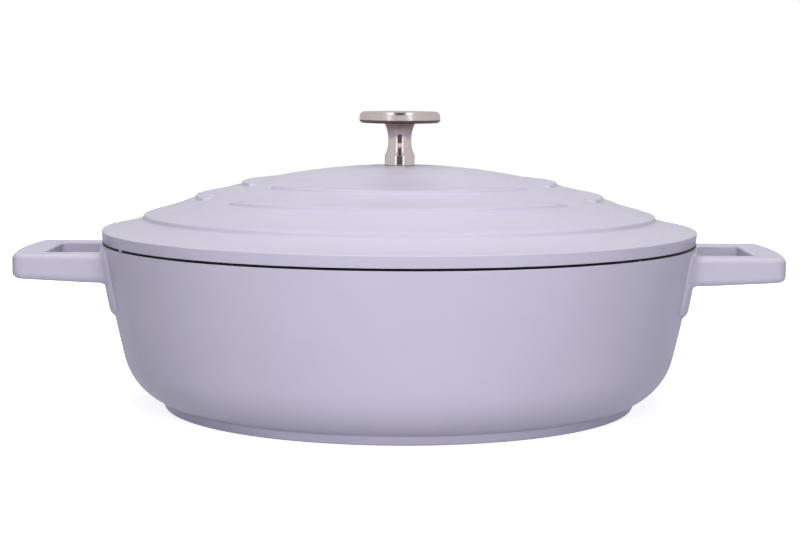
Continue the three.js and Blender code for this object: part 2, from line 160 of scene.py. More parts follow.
# Knob and its fixing
KNOB_SEAT_RADIUS = 10.0
STEM_BASE_RADIUS = 8.15
STEM_COLLAR_HEIGHT = 5.0
STEM_WAIST_RADIUS = 6.3
STEM_WAIST_HEIGHT = 12.2
STEM_UPPER_FLARE = 2.5  # powers of the curves to the neck and the collar
STEM_LOWER_FLARE = 2.0
STEM_NECK_RADIUS = 8.35
STEM_HEIGHT = 22.3
STEM_EDGE = 0.35
STEM_REACH = 0.9  # share of the gap below that it closes
SPIGOT_RADIUS = 4.0
SPIGOT_HEIGHT = 3.0
DISC_RADIUS = 22.0
DISC_THICKNESS = 6.0
DISC_EDGE = 1.4
DISC_LOWER_EDGE = 1.3
DISC_TAPER = 0.3
DISC_LOWER_ROUND = 0.3
DISC_UPPER_ROUND = 0.5
DISC_BRUSHED = 0.9  # share of the upper bevel that is brushed
DISC_BEVEL_DEPTH = 0.6  # of the bevels' finishes past the lower one
SCREW_RADIUS = 2.5
SCREW_GRIP = 12.0
SCREW_HEAD_RADIUS = 4.8
SCREW_HEAD_HEIGHT = 3.2
SCREW_FACE = 0.62  # flat share of the head's radius
SCREW_ROUNDS = (1.2, 0.8, 0.2)  # from the head's face to its seat
SCREW_TIP_ROUNDS = (0.3, 0.2)
WASHER_RADIUS = 7.0
WASHER_THICKNESS = 1.2
WASHER_EDGE = 0.25
RECESS_REACH = 2.5  # cross recess in the screw's head
RECESS_WIDTH = 1.1
RECESS_DEPTH = 1.6
RECESS_TAPER = 0.55  # its floor as a share of its mouth
RECESS_CUT = 0.2  # the cutter starts outside

# Facets
DISH_SEGMENTS = 240
KNOB_SEGMENTS = 96
SCREW_SEGMENTS = 64
HOLE_SEGMENTS = 40
CORNER_STEPS = 22  # rings of the dish's corner and wall
WALL_STEPS = 24
LINING_RINGS = 110
WAIST_STEPS = 15  # up and down
ARM_STEPS = 14  # sections of an arm, a corner and half the bar
TURN_STEPS = 12
BAR_STEPS = 12
SIDE_SHARES = (0.05, 0.35, 0.65, 0.95)  # vertices on the flat sides of a section
FILLET_STEP = 9.0  # degrees
MITRE_LEAST = 0.5  # limits how wide an edge is on a skew section
LID_PITCH = 3.2  # of plain rings
LID_LEAST_PITCH = 0.06
SEAT_MARGIN = 3.0  # between the knob's seat and them
RISER_RINGS = (-0.1, 1.1, 13)  # first and last as shares of the riser, number
RISER_EDGE_RINGS = (-0.6, 1.4, 9)  # the same for the rounding
LIP_RINGS = (1.3, 0.5, 9)  # first in risers, last in runs
END_ANGLES = (-0.2, 1.5, 3.2)  # degrees beside an arc's end: close sections, then wider ones
ANGLE_STEPS = (0.12, 0.3, 1.4, 1.1)  # close, wider, along the arc and in the gap
LID_EDGE_LEAD = 2.0  # of the outline, before the edge
UNDERSIDE_PITCH = 3.0
UNDERSIDE_LEAD = 2.5  # from the skirt to the first plain ring
ROUND_STEP = 15.0  # degrees of a rounded edge
ROUND_ROOM = 0.48  # share of a side that a rounded edge can take
EDGE_GUARD = 0.25  # ring beside a rounded edge, which keeps flats flat
GUARD_SHARE = 0.3  # most of the room that the guard takes
GUARD_LEAST = 0.001
WELD_REACH = 1e-6  # metres
SMOOTH_AREA = 1e-6  # square metres; larger facets are flat

# Camera, fitted to the rim, lid and foot of the photograph
CAMERA_PLACE = (0.47, -1049.8, 182.0)
CAMERA_TILT = 5.855  # degrees below the horizontal
CAMERA_ROLL = 0.296
CAMERA_AZIMUTH = 0.4  # degrees from the front, to the right
FOCAL_PIXELS = 1935.2
IMAGE_WIDTH = 800
SENSOR_WIDTH = 36.0

# Values that follow from the sizes above
BEAD_HEIGHT = RIM_HEIGHT + SEAT_GAP + RIM_BEAD
LID_SEAT = BEAD_HEIGHT + SEAT_GAP
LID_RADIUS = RIM_RADIUS + LID_OVERHANG
LID_OUTER = LID_RADIUS - LID_FACET_LOSS
LID_EDGE_HEIGHT = LID_SEAT + LID_BAND
DOME_BASE = LID_EDGE_HEIGHT - RIM_LIP
DOME_RADIUS = (LID_RADIUS**2 + DOME_RISE**2) / (2 * DOME_RISE)
HANDLE_TOP = RIM_HEIGHT - HANDLE_BELOW_RIM
HANDLE_BOTTOM = HANDLE_TOP - HANDLE_THICKNESS
PAD_TOP = RIM_HEIGHT - PAD_BELOW_RIM
PAD_HALF_WIDTH = HANDLE_WIDTH / 2 + PAD_FLARE
SKIRT_RADIUS = RIM_RADIUS - WALL_THICKNESS - SEAT_GAP - LINING_THICKNESS - LID_PLAY
SKIRT_INNER_RADIUS = SKIRT_RADIUS - SKIRT_WIDTH
SCREW_HOLE_RADIUS = SCREW_RADIUS + SCREW_PLAY
PLATE_RADIUS = FOOT_RADIUS - FOOT_TAPER - PLATE_MARGIN - SEAT_GAP
STEPS = [(LID_RADIUS - inset, lip, run, broken) for inset, lip, run, broken in STEP_SIZES]


# Profiles: lists of (radius, height), turned about the Z axis

def bowed_arc(start, end, bow, steps):
    """Points after start, up to end, on an arc whose middle stands bow to the right of the chord."""
    start, end = np.array(start, float), np.array(end, float)
    chord = end - start
    length = norm(chord)
    along = chord / length
    aside = np.array((along[1], -along[0]))
    half_angle = 2 * atan2(2 * bow, length)
    radius = length / (2 * sin(half_angle))
    middle = (start + end) / 2
    turns = half_angle * (2 * np.arange(1, steps + 1) / steps - 1)
    return [
        middle + along * radius * sin(t) + aside * radius * (cos(t) - cos(half_angle))
        for t in turns
    ]


def rounded(corners):
    """A closed outline from (x, y, radius) corners, with arcs at the corners that have a radius."""
    outline = []
    for i, (x, y, radius) in enumerate(corners):
        here = np.array((x, y))
        if radius == 0:
            outline.append(here)
            continue
        before = np.array(corners[i - 1][:2]) - here
        after = np.array(corners[(i + 1) % len(corners)][:2]) - here
        room = min(norm(before), norm(after))
        before, after = before / norm(before), after / norm(after)
        half = acos(np.clip(before @ after, -1, 1)) / 2
        angle = pi - 2 * half
        reach = min(radius / tan(half), ROUND_ROOM * room)
        radius = reach * tan(half)
        centre = here + (before + after) / norm(before + after) * radius / sin(half)
        steps = max(2, round(degrees(angle) / ROUND_STEP))
        first = here + before * reach - centre
        last = here + after * reach - centre
        guard = min(EDGE_GUARD, GUARD_SHARE * (room / 2 - reach) + GUARD_LEAST)
        outline.append(here + before * (reach + guard))
        for k in range(steps + 1):
            mix = np.sin((1 - k / steps) * angle) * first + np.sin(k / steps * angle) * last
            outline.append(centre + mix / sin(angle))
        outline.append(here + after * (reach + guard))
    return outline


def offset_profile(points, distance):
    """The open profile moved sideways, to the left of its direction when distance is positive."""
    points = np.array(points, float)
    steps = np.diff(points, axis=0)
    sides = np.stack([-steps[:, 1], steps[:, 0]], 1) / norm(steps, axis=1)[:, None]
    before = np.vstack([sides[:1], sides])
    after = np.vstack([sides, sides[-1:]])
    mitre = before + after
    mitre /= norm(mitre, axis=1)[:, None]
    return list(points + mitre * (distance / np.sum(mitre * before, 1))[:, None])


def sharp(points):
    """Profile points as corners without a radius."""
    return [(p[0], p[1], 0) for p in points]


def outer_wall():
    crease = (FOOT_RADIUS, FOOT_HEIGHT)
    shoulder = (SHOULDER_RADIUS, SHOULDER_HEIGHT)
    rim = (RIM_RADIUS, RIM_HEIGHT)
    corner = bowed_arc(crease, shoulder, CORNER_BOW, CORNER_STEPS)
    return [crease, *corner, *bowed_arc(shoulder, rim, WALL_BOW, WALL_STEPS)]


def inner_wall():
    floor = (FOOT_RADIUS - FLOOR_CORNER_INSET, FLOOR_THICKNESS)
    shoulder = (SHOULDER_RADIUS - WALL_THICKNESS, SHOULDER_HEIGHT)
    rim = (RIM_RADIUS - WALL_THICKNESS, RIM_HEIGHT)
    flat = [(share * floor[0], FLOOR_THICKNESS) for share in FLOOR_RINGS]
    corner = bowed_arc(floor, shoulder, FLOOR_CORNER_BOW, CORNER_STEPS)
    return [*flat, floor, *corner, *bowed_arc(shoulder, rim, WALL_BOW, WALL_STEPS)]


def dome_height(r):
    return DOME_BASE + DOME_RISE - DOME_RADIUS + np.sqrt(DOME_RADIUS**2 - r**2)


def lid_underside(r):
    """Underside of the lid, with a round drip ridge under each broken step."""
    flat = np.maximum(r, KNOB_SEAT_RADIUS)
    height = dome_height(flat) - LID_WALL
    for radius, _, _, broken in STEPS:
        if broken:
            near = np.clip(np.abs(flat - radius) / (DRIP_RIDGE_WIDTH / 2), 0, 1)
            height = height - DRIP_RIDGE * np.cos(near * pi / 2) ** 2
    return height


# Meshes

def add_object(name, data):
    thing = bpy.data.objects.new(name, data)
    bpy.context.scene.collection.objects.link(thing)
    return thing


def weld(mesh, smooth):
    """Joins matching points and turns the faces outwards."""
    skin = bmesh.new()
    skin.from_mesh(mesh)
    bmesh.ops.remove_doubles(skin, verts=skin.verts, dist=WELD_REACH)
    if smooth:
        bmesh.ops.dissolve_degenerate(skin, edges=skin.edges, dist=WELD_REACH / 10)
        for face in skin.faces:
            face.smooth = True
    bmesh.ops.recalc_face_normals(skin, faces=skin.faces)
    skin.to_mesh(mesh)
    skin.free()


def make_piece(name, vertices, faces, materials, face_materials=None):
    """A smooth mesh object from points in millimetres."""
    mesh = bpy.data.meshes.new(name)
    mesh.from_pydata((np.asarray(vertices, float) * MM).tolist(), [], faces)
    for material in materials:
        mesh.materials.append(material)
    if face_materials is not None:
        mesh.polygons.foreach_set("material_index", np.asarray(face_materials, np.int32))
    weld(mesh, True)
    return add_object(name, mesh)


def grid_faces(rows, columns, close_rows=False, close_columns=False):
    """Quads of a grid of vertices that are numbered row by row."""
    quads = []
    for i in range(rows if close_rows else rows - 1):
        for j in range(columns if close_columns else columns - 1):
            up, right = (i + 1) % rows, (j + 1) % columns
            quads.append((i * columns + j, i * columns + right, up * columns + right, up * columns + j))
    return quads


def around(sections, angles):
    """Points of closed sections set round the Z axis at angles from the front."""
    sections, angles = np.asarray(sections, float), np.asarray(angles, float)
    sines, cosines = np.sin(angles)[:, None], np.cos(angles)[:, None]
    r, z = sections[..., 0], sections[..., 1]
    return np.stack([r * sines, -r * cosines, z + 0 * sines], -1)


def turned_grid(profile, segments):
    """Points and faces of a closed profile turned about the Z axis."""
    angles = np.arange(segments) * 2 * pi / segments
    points = around(np.broadcast_to(profile, (segments, *profile.shape)), angles)
    return points.reshape(-1, 3), grid_faces(segments, len(profile), True, True)


def turned(name, corners, materials, segments=DISH_SEGMENTS, painted=None):
    """A turned piece; painted(r, z) gives the material of a ring of faces from its middle."""
    profile = np.array(rounded(corners), float)
    points, faces = turned_grid(profile, segments)
    kinds = None
    if painted:
        middles = (profile + np.roll(profile, -1, 0)) / 2
        kinds = [painted(r, z) for r, z in middles] * segments
    return make_piece(name, points, faces, materials, kinds)


# Materials

def new_material(name):
    material = bpy.data.materials.new(name)
    material.use_nodes = True
    tree = material.node_tree
    return material, tree, tree.nodes["Principled BSDF"]


def fill(tree, node, inputs):
    """Sets sockets, by name or number, to a number, a colour or another node's socket."""
    for key, value in inputs.items():
        if isinstance(value, bpy.types.NodeSocket):
            tree.links.new(value, node.inputs[key])
        else:
            node.inputs[key].default_value = (*value, 1) if isinstance(value, tuple) else value


def add_node(tree, kind, *values, settings=None, **inputs):
    """A shader node whose first sockets are filled in order, and others by name."""
    node = tree.nodes.new("ShaderNode" + kind)
    for key, value in (settings or {}).items():
        setattr(node, key, value)
    fill(tree, node, {**dict(enumerate(values)), **inputs})
    return node


def object_place(tree):
    return add_node(tree, "TexCoord").outputs["Object"]


def noise(tree, place, feature, detail=2.0):
    """Noise with features of about this size in millimetres."""
    node = add_node(tree, "TexNoise", Vector=place, Scale=1 / (feature * MM), Detail=detail)
    return node.outputs["Fac"]


def math_node(tree, operation, a, b=0.0, clamp=False):
    settings = {"operation": operation, "use_clamp": clamp}
    return add_node(tree, "Math", a, b, settings=settings).outputs[0]


def times(tree, a, b):
    return math_node(tree, "MULTIPLY", a, b)


def plus(tree, a, b):
    return math_node(tree, "ADD", a, b)


def spread(tree, value, low, high, start=0.3, end=0.7):
    """A value from start to end, brought to the range from low to high."""
    return add_node(tree, "MapRange", value, start, end, low, high).outputs[0]


def mix_colours(tree, share, first, second):
    node = add_node(tree, "Mix", share, settings={"data_type": "RGBA"})
    fill(tree, node, {6: first, 7: second})
    return node.outputs[2]


def bump(tree, *layers):
    """Normals from layers of relief: a height from 0 to 1, and its depth in millimetres."""
    below = {}
    for height, depth in layers:
        node = add_node(tree, "Bump", Height=height, Strength=1.0, Distance=depth * MM, **below)
        below = {"Normal": node.outputs["Normal"]}
    return node.outputs["Normal"]


COAT_COLOUR = (0.562, 0.526, 0.667)
COAT_PALE = (0.584, 0.549, 0.687)
COAT_DEEP = (0.527, 0.491, 0.632)
BLACK_COLOUR = (0.02, 0.02, 0.022)
# painted shade: the bead's black is darker than the lining's, for the shade under the lid's edge
BEAD_SHADE_COLOUR = (0.005, 0.005, 0.006)
BLACK_FLECK = (0.05, 0.05, 0.055)
# painted shade: the dark brown that the stem's neck turns to under the knob's disc
NECK_SHADE_COLOUR = (0.26, 0.195, 0.16)
KNOB_TONES = ((0.72, 0.635, 0.61), (0.68, 0.60, 0.575))
BLASTED_SHADE_TONES = ((0.19, 0.155, 0.14), (0.15, 0.125, 0.115))  # lower bevel of the knob's disc: a blasted finish whose dark tone is painted shade under the disc
STEEL_TONES = ((0.47, 0.465, 0.46), (0.39, 0.388, 0.39))
BARE_TONES = ((0.62, 0.62, 0.63), (0.53, 0.53, 0.54))

# Metals: tones, roughness, pitch and depth of the turning lines in millimetres, anisotropy
POLISHED = (KNOB_TONES, 0.08, 0.25, 0.0003, 0.3)
SATIN = (KNOB_TONES, 0.24, 0.25, 0.0006, 0.3)
BRUSHED = (KNOB_TONES, 0.15, 0.25, 0.0003)
# blasted roughness; its dark tones are painted shade
BLASTED_SHADED = (BLASTED_SHADE_TONES, 0.42, 0.4, 0.006)
TURNED = (STEEL_TONES, 0.28, 0.5, 0.004)
BARE = (BARE_TONES, 0.32, 0.6, 0.005)
METAL_CLOUD = 6.0
METAL_SWING = 0.03  # of the roughness
QUARTER_TURN = 0.25  # of the anisotropy, which then runs round the axis

# Coats: sizes of patterns, and sizes and depths of relief, in millimetres
COAT_SPECULAR = 0.45
COAT_ROUGHNESS = (0.215, 0.255)
COAT_DRIFT = 40.0
COAT_GRAIN = 0.45
COAT_GRAIN_SHARE = 0.35
COAT_PEEL = (1.6, 0.004)
COAT_POWDER = (0.35, 0.002)
BLACK_SPECULAR = 0.4
BEAD_SPECULAR = 0.08
BLACK_ROUGHNESS = (0.42, 0.56)
BLACK_PEEL = (1.2, 0.012)
BLACK_LINES = (0.9, 0.004)
FLECK_PITCH = 1.1
FLECK_CLOUD = 3.0  # size of their patches
FLECK_EDGE = (0.08, 0.2)  # where they fade: distance, value of the cloud
FLECK_RARE = (0.5, 0.62)


def coat_material():
    """Lavender coat: a broad drift of tone, a fine powder grain and a slight orange peel."""
    material, tree, shader = new_material("lavender_coat")
    place = object_place(tree)
    peel = noise(tree, place, COAT_PEEL[0])
    drift = spread(tree, noise(tree, place, COAT_DRIFT), 0, 1)
    grain = spread(tree, noise(tree, place, COAT_GRAIN, detail=3), 0, 1)
    powder = noise(tree, place, COAT_POWDER[0], detail=3)
    broad = mix_colours(tree, drift, COAT_COLOUR, COAT_PALE)
    fill(tree, shader, {
        "Base Color": mix_colours(tree, times(tree, grain, COAT_GRAIN_SHARE), broad, COAT_DEEP),
        "Specular IOR Level": COAT_SPECULAR,
        "Roughness": spread(tree, peel, *COAT_ROUGHNESS),
        "Normal": bump(tree, (peel, COAT_PEEL[1]), (powder, COAT_POWDER[1])),
    })
    return material


def turning_lines(tree, place, pitch):
    """Lines left by turning: noise that changes along a profile and not around it."""
    x, y, z = add_node(tree, "SeparateXYZ", place).outputs
    squares = [times(tree, part, part) for part in (x, y)]
    radius = math_node(tree, "SQRT", plus(tree, *squares))
    along = plus(tree, radius, z)
    settings = {"noise_dimensions": "1D"}
    node = add_node(tree, "TexNoise", settings=settings, W=along, Scale=1 / (pitch * MM), Detail=3.0)
    return node.outputs["Fac"]


def black_material(bead=False):
    """Matt black non-stick layer with fine flecks; on the bead at the rim it is darker, as painted shade
    under the lid, and some coat has run over it.
    """
    material, tree, shader = new_material("black_layer")
    place = object_place(tree)
    flecks = add_node(tree, "TexVoronoi", Vector=place, Scale=1 / (FLECK_PITCH * MM))
    dots = spread(tree, flecks.outputs["Distance"], 1, 0, *FLECK_EDGE)
    rare = spread(tree, noise(tree, place, FLECK_CLOUD), 0, 1, *FLECK_RARE)
    share = math_node(tree, "MULTIPLY", dots, rare, clamp=True)
    # on the bead the black is darker: painted shade under the lid's edge
    tone = mix_colours(tree, share, BEAD_SHADE_COLOUR if bead else BLACK_COLOUR, BLACK_FLECK)
    if bead:
        tone = mix_colours(tree, bead_overspray(tree, place), tone, COAT_COLOUR)
    peel = noise(tree, place, BLACK_PEEL[0])
    lines = turning_lines(tree, place, BLACK_LINES[0])
    fill(tree, shader, {
        "Base Color": tone,
        "Specular IOR Level": BEAD_SPECULAR if bead else BLACK_SPECULAR,
        "Roughness": spread(tree, peel, *BLACK_ROUGHNESS),
        "Normal": bump(tree, (peel, BLACK_PEEL[1]), (lines, BLACK_LINES[1])),
    })
    return material


def metal_material(name, tones, roughness, pitch, depth, anisotropy=0.0, painted_shade=None):
    """Turned metal with fine lines round its axis; between the two heights of painted_shade it turns dark, as
    painted shade.
    """
    material, tree, shader = new_material(name)
    place = object_place(tree)
    lines = turning_lines(tree, place, pitch)
    cloud = noise(tree, place, METAL_CLOUD)
    share = times(tree, spread(tree, lines, 0, 1), spread(tree, cloud, 0.5, 1))
    tone = mix_colours(tree, share, *tones)
    if painted_shade:
        # painted shade: the tone turns dark between two heights
        height = add_node(tree, "SeparateXYZ", place).outputs[2]
        dark = spread(tree, height, 0, 1, *(end * MM for end in painted_shade))
        tone = mix_colours(tree, dark, tone, NECK_SHADE_COLOUR)
    streaks = spread(tree, lines, -METAL_SWING, METAL_SWING)
    patches = spread(tree, cloud, roughness, roughness + METAL_SWING)
    fill(tree, shader, {
        "Base Color": tone,
        "Metallic": 1,
        "Roughness": plus(tree, streaks, patches),
        "Normal": bump(tree, (lines, depth)),
    })
    if anisotropy:
        tangent = add_node(tree, "Tangent", settings={"direction_type": "RADIAL", "axis": "Z"})
        across = {"Anisotropic Rotation": QUARTER_TURN, "Tangent": tangent.outputs[0]}
        fill(tree, shader, {"Anisotropic": anisotropy, **across})
    return material


# Coat that has run over the black bead: one longer run at the left of the front, and small specks
RUN_ANGLE = -61.6  # degrees from the front, to the right
RUN_LENGTH = 5.0
RUN_FADE = 0.8
RUN_TEETH = 1.5  # size and depth of its ragged edge
RUN_RAGGED = 1.2
SPECK_SIZE = 2.2
SPECK_RANGE = (0.70, 0.73)  # of the noise
SPECK_TOP = (0.35, 0.6)  # heights above the rim: end of the specks
BEAD_FOOT = (-0.2, 0.0)  # start of the bead


def bead_overspray(tree, place):
    """Share of coat on the bead: one longer run, and small specks along the lower edge."""
    angle = radians(RUN_ANGLE)
    middle = Vector((sin(angle) * RIM_RADIUS, -cos(angle) * RIM_RADIUS, RIM_HEIGHT)) * MM
    distance = add_node(tree, "VectorMath", place, middle, settings={"operation": "DISTANCE"})
    ragged = times(tree, noise(tree, place, RUN_TEETH), RUN_RAGGED * MM)
    away = plus(tree, distance.outputs["Value"], ragged)
    run = spread(tree, away, 1, 0, RUN_LENGTH / 2 * MM, (RUN_LENGTH / 2 + RUN_FADE) * MM)
    height = add_node(tree, "SeparateXYZ", place).outputs[2]
    low = spread(tree, height, 1, 0, *((RIM_HEIGHT + z) * MM for z in SPECK_TOP))
    on_bead = spread(tree, height, 0, 1, *((RIM_HEIGHT + z) * MM for z in BEAD_FOOT))
    specks = spread(tree, noise(tree, place, SPECK_SIZE, detail=1), 0, 1, *SPECK_RANGE)
    spray = math_node(tree, "MAXIMUM", run, times(tree, specks, low))
    return times(tree, spray, on_bead)


coat = coat_material()
black = black_material()
bead_black_run_and_shade = black_material(bead=True)
knob_steel = metal_material("satin_steel", *SATIN)
edge_steel = metal_material("brushed_steel", *BRUSHED)
blasted_steel_painted_shade = metal_material("blasted_steel_painted_shade", *BLASTED_SHADED)
plate_steel = metal_material("turned_steel", *TURNED)
bare_metal = metal_material("turned_aluminium", *BARE)


def dress(piece, body, slot, *nodes):
    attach(piece, body)
    if nodes:
        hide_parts(*nodes)
    return piece


# Dish

def vessel_piece():
    recess = PLATE_THICKNESS + SEAT_GAP
    wall = outer_wall()
    inside = inner_wall()[::-1]
    foot, top = FOOT_RADIUS - FOOT_TAPER, RIM_HEIGHT + RIM_RAISED
    corners = [
        (0, recess, 0),
        (PLATE_RADIUS + SEAT_GAP, recess, PLATE_SEAT_EDGE),
        (PLATE_RADIUS + SEAT_GAP, 0, PLATE_EDGE),
        (foot, 0, FOOT_EDGE),
        (*wall[0], CREASE_FILLET),
        *sharp(wall[1:-1]),
        (RIM_RADIUS, top, RIM_OUTER_EDGE),
        (RIM_RADIUS - WALL_THICKNESS, top, RIM_EDGE),
        *sharp(inside[1:]),
    ]

    def bare(r, z):
        return int(z <= recess and r < foot - FOOT_EDGE)

    return turned("casserole_body", corners, [coat, bare_metal], painted=bare)


def pan_lining_piece():
    backed = offset_profile(inner_wall(), SEAT_GAP)
    bare = offset_profile(inner_wall(), SEAT_GAP + LINING_THICKNESS)
    low, high = RIM_HEIGHT + BEAD_LOW, RIM_HEIGHT + BEAD_HIGH
    edge, bead_round = RIM_RADIUS - BEAD_INSET, (high - low) / 2 * BEAD_ROUNDNESS
    corners = [
        *sharp(backed[:-1]),
        (backed[-1][0], low, 0),
        (edge, low, bead_round),
        (edge, high, bead_round),
        (bare[-1][0], high, bead_round),
        *sharp(bare[:-1][::-1]),
    ]
    return turned("dish_lining", corners, [bead_black_run_and_shade])


# Plate let into the base

def hole_places():
    pitch = PLATE_RADIUS / (PLATE_HOLE_RINGS + PLATE_HOLE_MARGIN)
    for ring in range(1, PLATE_HOLE_RINGS + 1):
        count = ring * PLATE_HOLES_PER_RING
        for i in range(count):
            angle = 2 * pi * i / count
            yield ring * pitch * cos(angle), ring * pitch * sin(angle)


def plate_piece():
    """Pierced disc, drawn out from circles with a small bevel."""
    outline = bpy.data.curves.new("plate_outline", "CURVE")
    outline.dimensions = "2D"
    outline.fill_mode = "BOTH"
    circles = [(0, 0, PLATE_RADIUS - PLATE_EDGE, DISH_SEGMENTS)]
    circles += [(x, y, PLATE_HOLE_RADIUS + PLATE_EDGE, HOLE_SEGMENTS) for x, y in hole_places()]
    for x, y, radius, count in circles:
        spline = outline.splines.new("POLY")
        spline.points.add(count - 1)
        for k, point in enumerate(spline.points):
            angle = 2 * pi * k / count
            point.co = ((x + radius * cos(angle)) * MM, (y + radius * sin(angle)) * MM, 0, 1)
        spline.use_cyclic_u = True
    outline.extrude = (PLATE_THICKNESS / 2 - PLATE_EDGE) * MM
    outline.bevel_depth = PLATE_EDGE * MM
    outline.bevel_resolution = 2
    drawn = add_object("plate_outline", outline)
    graph = bpy.context.evaluated_depsgraph_get()
    mesh = bpy.data.meshes.new_from_object(drawn.evaluated_get(graph))
    bpy.data.objects.remove(drawn)
    mesh.transform(Matrix.Translation((0, 0, PLATE_THICKNESS / 2 * MM)))
    mesh.materials.clear()
    mesh.materials.append(plate_steel)
    weld(mesh, False)
    return add_object("base_plate", mesh)


def plugs_piece():
    """Metal of the dish that fills the plate's holes."""
    radius = PLATE_HOLE_RADIUS - PLUG_PLAY
    top = PLATE_THICKNESS + SEAT_GAP + PLUG_ROOT
    corners = [(0, PLUG_RECESS, 0), (radius, PLUG_RECESS, PLUG_EDGE), (radius, top, 0), (0, top, 0)]
    plug, quads = turned_grid(np.array(rounded(corners)), HOLE_SEGMENTS)
    places = list(hole_places())
    points = np.vstack([plug + (x, y, 0) for x, y in places])
    faces = np.vstack([np.array(quads) + i * len(plug) for i in range(len(places))])
    return make_piece("plate_plugs", points, faces.tolist(), [bare_metal])


# Handles

WALL_LINE = np.array(outer_wall())


def wall_radius(z):
    return np.interp(z, WALL_LINE[:, 1], WALL_LINE[:, 0])


def on_wall(y, z, proud):
    """A point that stands proud of the wall of the dish, on its +X side."""
    return np.stack([np.sqrt((wall_radius(z) + proud) ** 2 - y**2), y, z], -1)


def straight(start, end, count):
    """Points of a line after its start."""
    return np.linspace(start, end, count + 1)[1:]


def curve_points(start, control, end, count):
    """Points of a quadratic curve after its start."""
    t = np.arange(1, count + 1)[:, None] / count
    start, control, end = (np.array(p, float) for p in (start, control, end))
    return (1 - t) ** 2 * start + 2 * t * (1 - t) * control + t**2 * end


def loop_lines():
    """Plan lines of the finger hole and the outside, point by point, from an arm to the bar's middle."""
    side, hole_side = HANDLE_WIDTH / 2, HANDLE_WIDTH / 2 - ARM_WIDTH
    end = RIM_RADIUS + HANDLE_REACH
    corner, hole_end = end - HANDLE_END_BOW, end - GRIP_BAR
    start = RIM_RADIUS + PAD_PROUD + ROOT_FILLET_SIDE[1] - ROOT_OVERLAP

    def half_loop(x, y, radius, bar):
        arm = straight((start, y), (x - radius, y), ARM_STEPS)
        turn = curve_points((x - radius, y), (x, y), (x, y - radius), TURN_STEPS)
        return np.vstack([[(start, y)], arm, turn, bar])

    hole_bar = straight((hole_end, hole_side - HANDLE_HOLE_CORNER), (hole_end, 0), BAR_STEPS)
    first, last = (corner, side - HANDLE_CORNER), (corner, HANDLE_CORNER - side)
    bowed_bar = curve_points(first, (end + HANDLE_END_BOW, 0), last, 2 * BAR_STEPS)[:BAR_STEPS]
    inner = half_loop(hole_end, hole_side, HANDLE_HOLE_CORNER, hole_bar)
    return inner, half_loop(corner, side, HANDLE_CORNER, bowed_bar)


def section_ring(edge_in, edge_out, width, height):
    """Rounded rectangle round an arm: places across and up, and directions outwards."""
    points = []

    def corner(x, z, rx, rz, first):
        for a in np.radians(np.arange(0, 91, ROUND_STEP)) + radians(first):
            points.append((x + rx * cos(a), z + rz * sin(a), cos(a), sin(a)))

    def run(x0, z0, x1, z1, out, rise):
        for f in SIDE_SHARES:
            points.append((x0 + (x1 - x0) * f, z0 + (z1 - z0) * f, out, rise))

    edge, low, hole, draft = HANDLE_EDGE, HANDLE_LOWER_EDGE, HANDLE_HOLE_EDGE, HANDLE_HOLE_DRAFT
    low_in, low_out, hole_in = edge_in * low / edge, edge_out * low / edge, edge_in * hole / edge
    corner(draft + low_in, low, low_in, low, 180)
    run(draft + low_in, 0, width - low_out, 0, 0, -1)
    corner(width - low_out, low, low_out, low, 270)
    run(width, low, width, height - edge, 1, 0)
    corner(width - edge_out, height - edge, edge_out, edge, 0)
    run(width - edge_out, height, hole_in, height, 0, 1)
    corner(hole_in, height - hole, hole_in, hole, 90)
    run(0, height - hole, draft, low, -1, 0)
    return np.array(points).T


def drop_underside(points):
    """The loop's lower half falls towards the wall."""
    inward = (RIM_RADIUS + HANDLE_REACH - points[:, 0]) / HANDLE_REACH
    share = np.clip((HANDLE_TOP - HANDLE_EDGE - points[:, 2]) / (HANDLE_THICKNESS - 2 * HANDLE_EDGE), 0, 1)
    points[:, 2] -= HANDLE_ROOT_DROP * inward * share
    return points


def root_outline():
    """Section of an arm at the wall, as (y, z), and the fillet round it."""
    across, up, out, rise = section_ring(HANDLE_EDGE, HANDLE_EDGE, ARM_WIDTH, HANDLE_THICKNESS)
    y = HANDLE_WIDTH / 2 - ARM_WIDTH + across
    place = drop_underside(np.stack([np.full_like(y, RIM_RADIUS), y, HANDLE_BOTTOM + up], -1))
    fillet = []
    for k in range(2):
        sideways = np.where(out > 0, ROOT_FILLET_SIDE[k], ROOT_FILLET_INSIDE[k])
        upright = np.where(rise > 0, ROOT_FILLET_TOP[k], ROOT_FILLET_BELOW[k])
        fillet.append(sideways * out**2 + upright * rise**2)
    return place[:, 1], place[:, 2], out, rise, *fillet


def loop_stations():
    """Rings of points along half of the loop, from the pad to the middle of the bar."""
    stations = []
    y, z, out, rise, flare, length = root_outline()
    for angle in np.radians(np.arange(0, 91, FILLET_STEP)):
        ring_y = y + out * flare * (1 - sin(angle))
        ring_z = z + rise * flare * (1 - sin(angle))
        ring = on_wall(ring_y, ring_z, pad_height(ring_y, ring_z))
        ring[:, 0] += length * (1 - cos(angle))
        stations.append(ring)
    inner, outer = loop_lines()
    tangents = [np.gradient(line, axis=0) for line in (inner, outer)]
    slope = on_wall(y, z, PAD_PROUD)[:, 0] - RIM_RADIUS - PAD_PROUD
    for k in range(1, len(inner)):
        line = outer[k] - inner[k]
        width = norm(line)
        line /= width
        edges = []
        for tangent in tangents:
            t = tangent[k] / norm(tangent[k])
            edges.append(HANDLE_EDGE / max(MITRE_LEAST, abs(t[0] * line[1] - t[1] * line[0])))
        across, up, _, _ = section_ring(edges[0], edges[1], width, HANDLE_THICKNESS)
        ring = np.column_stack([inner[k] + across[:, None] * line, HANDLE_BOTTOM + up])
        settle = np.clip((inner[k][0] - inner[0][0]) / ROOT_SETTLE, 0, 1)
        ring[:, 0] += slope * (1 - settle) ** 2
        stations.append(drop_underside(ring))
    return stations


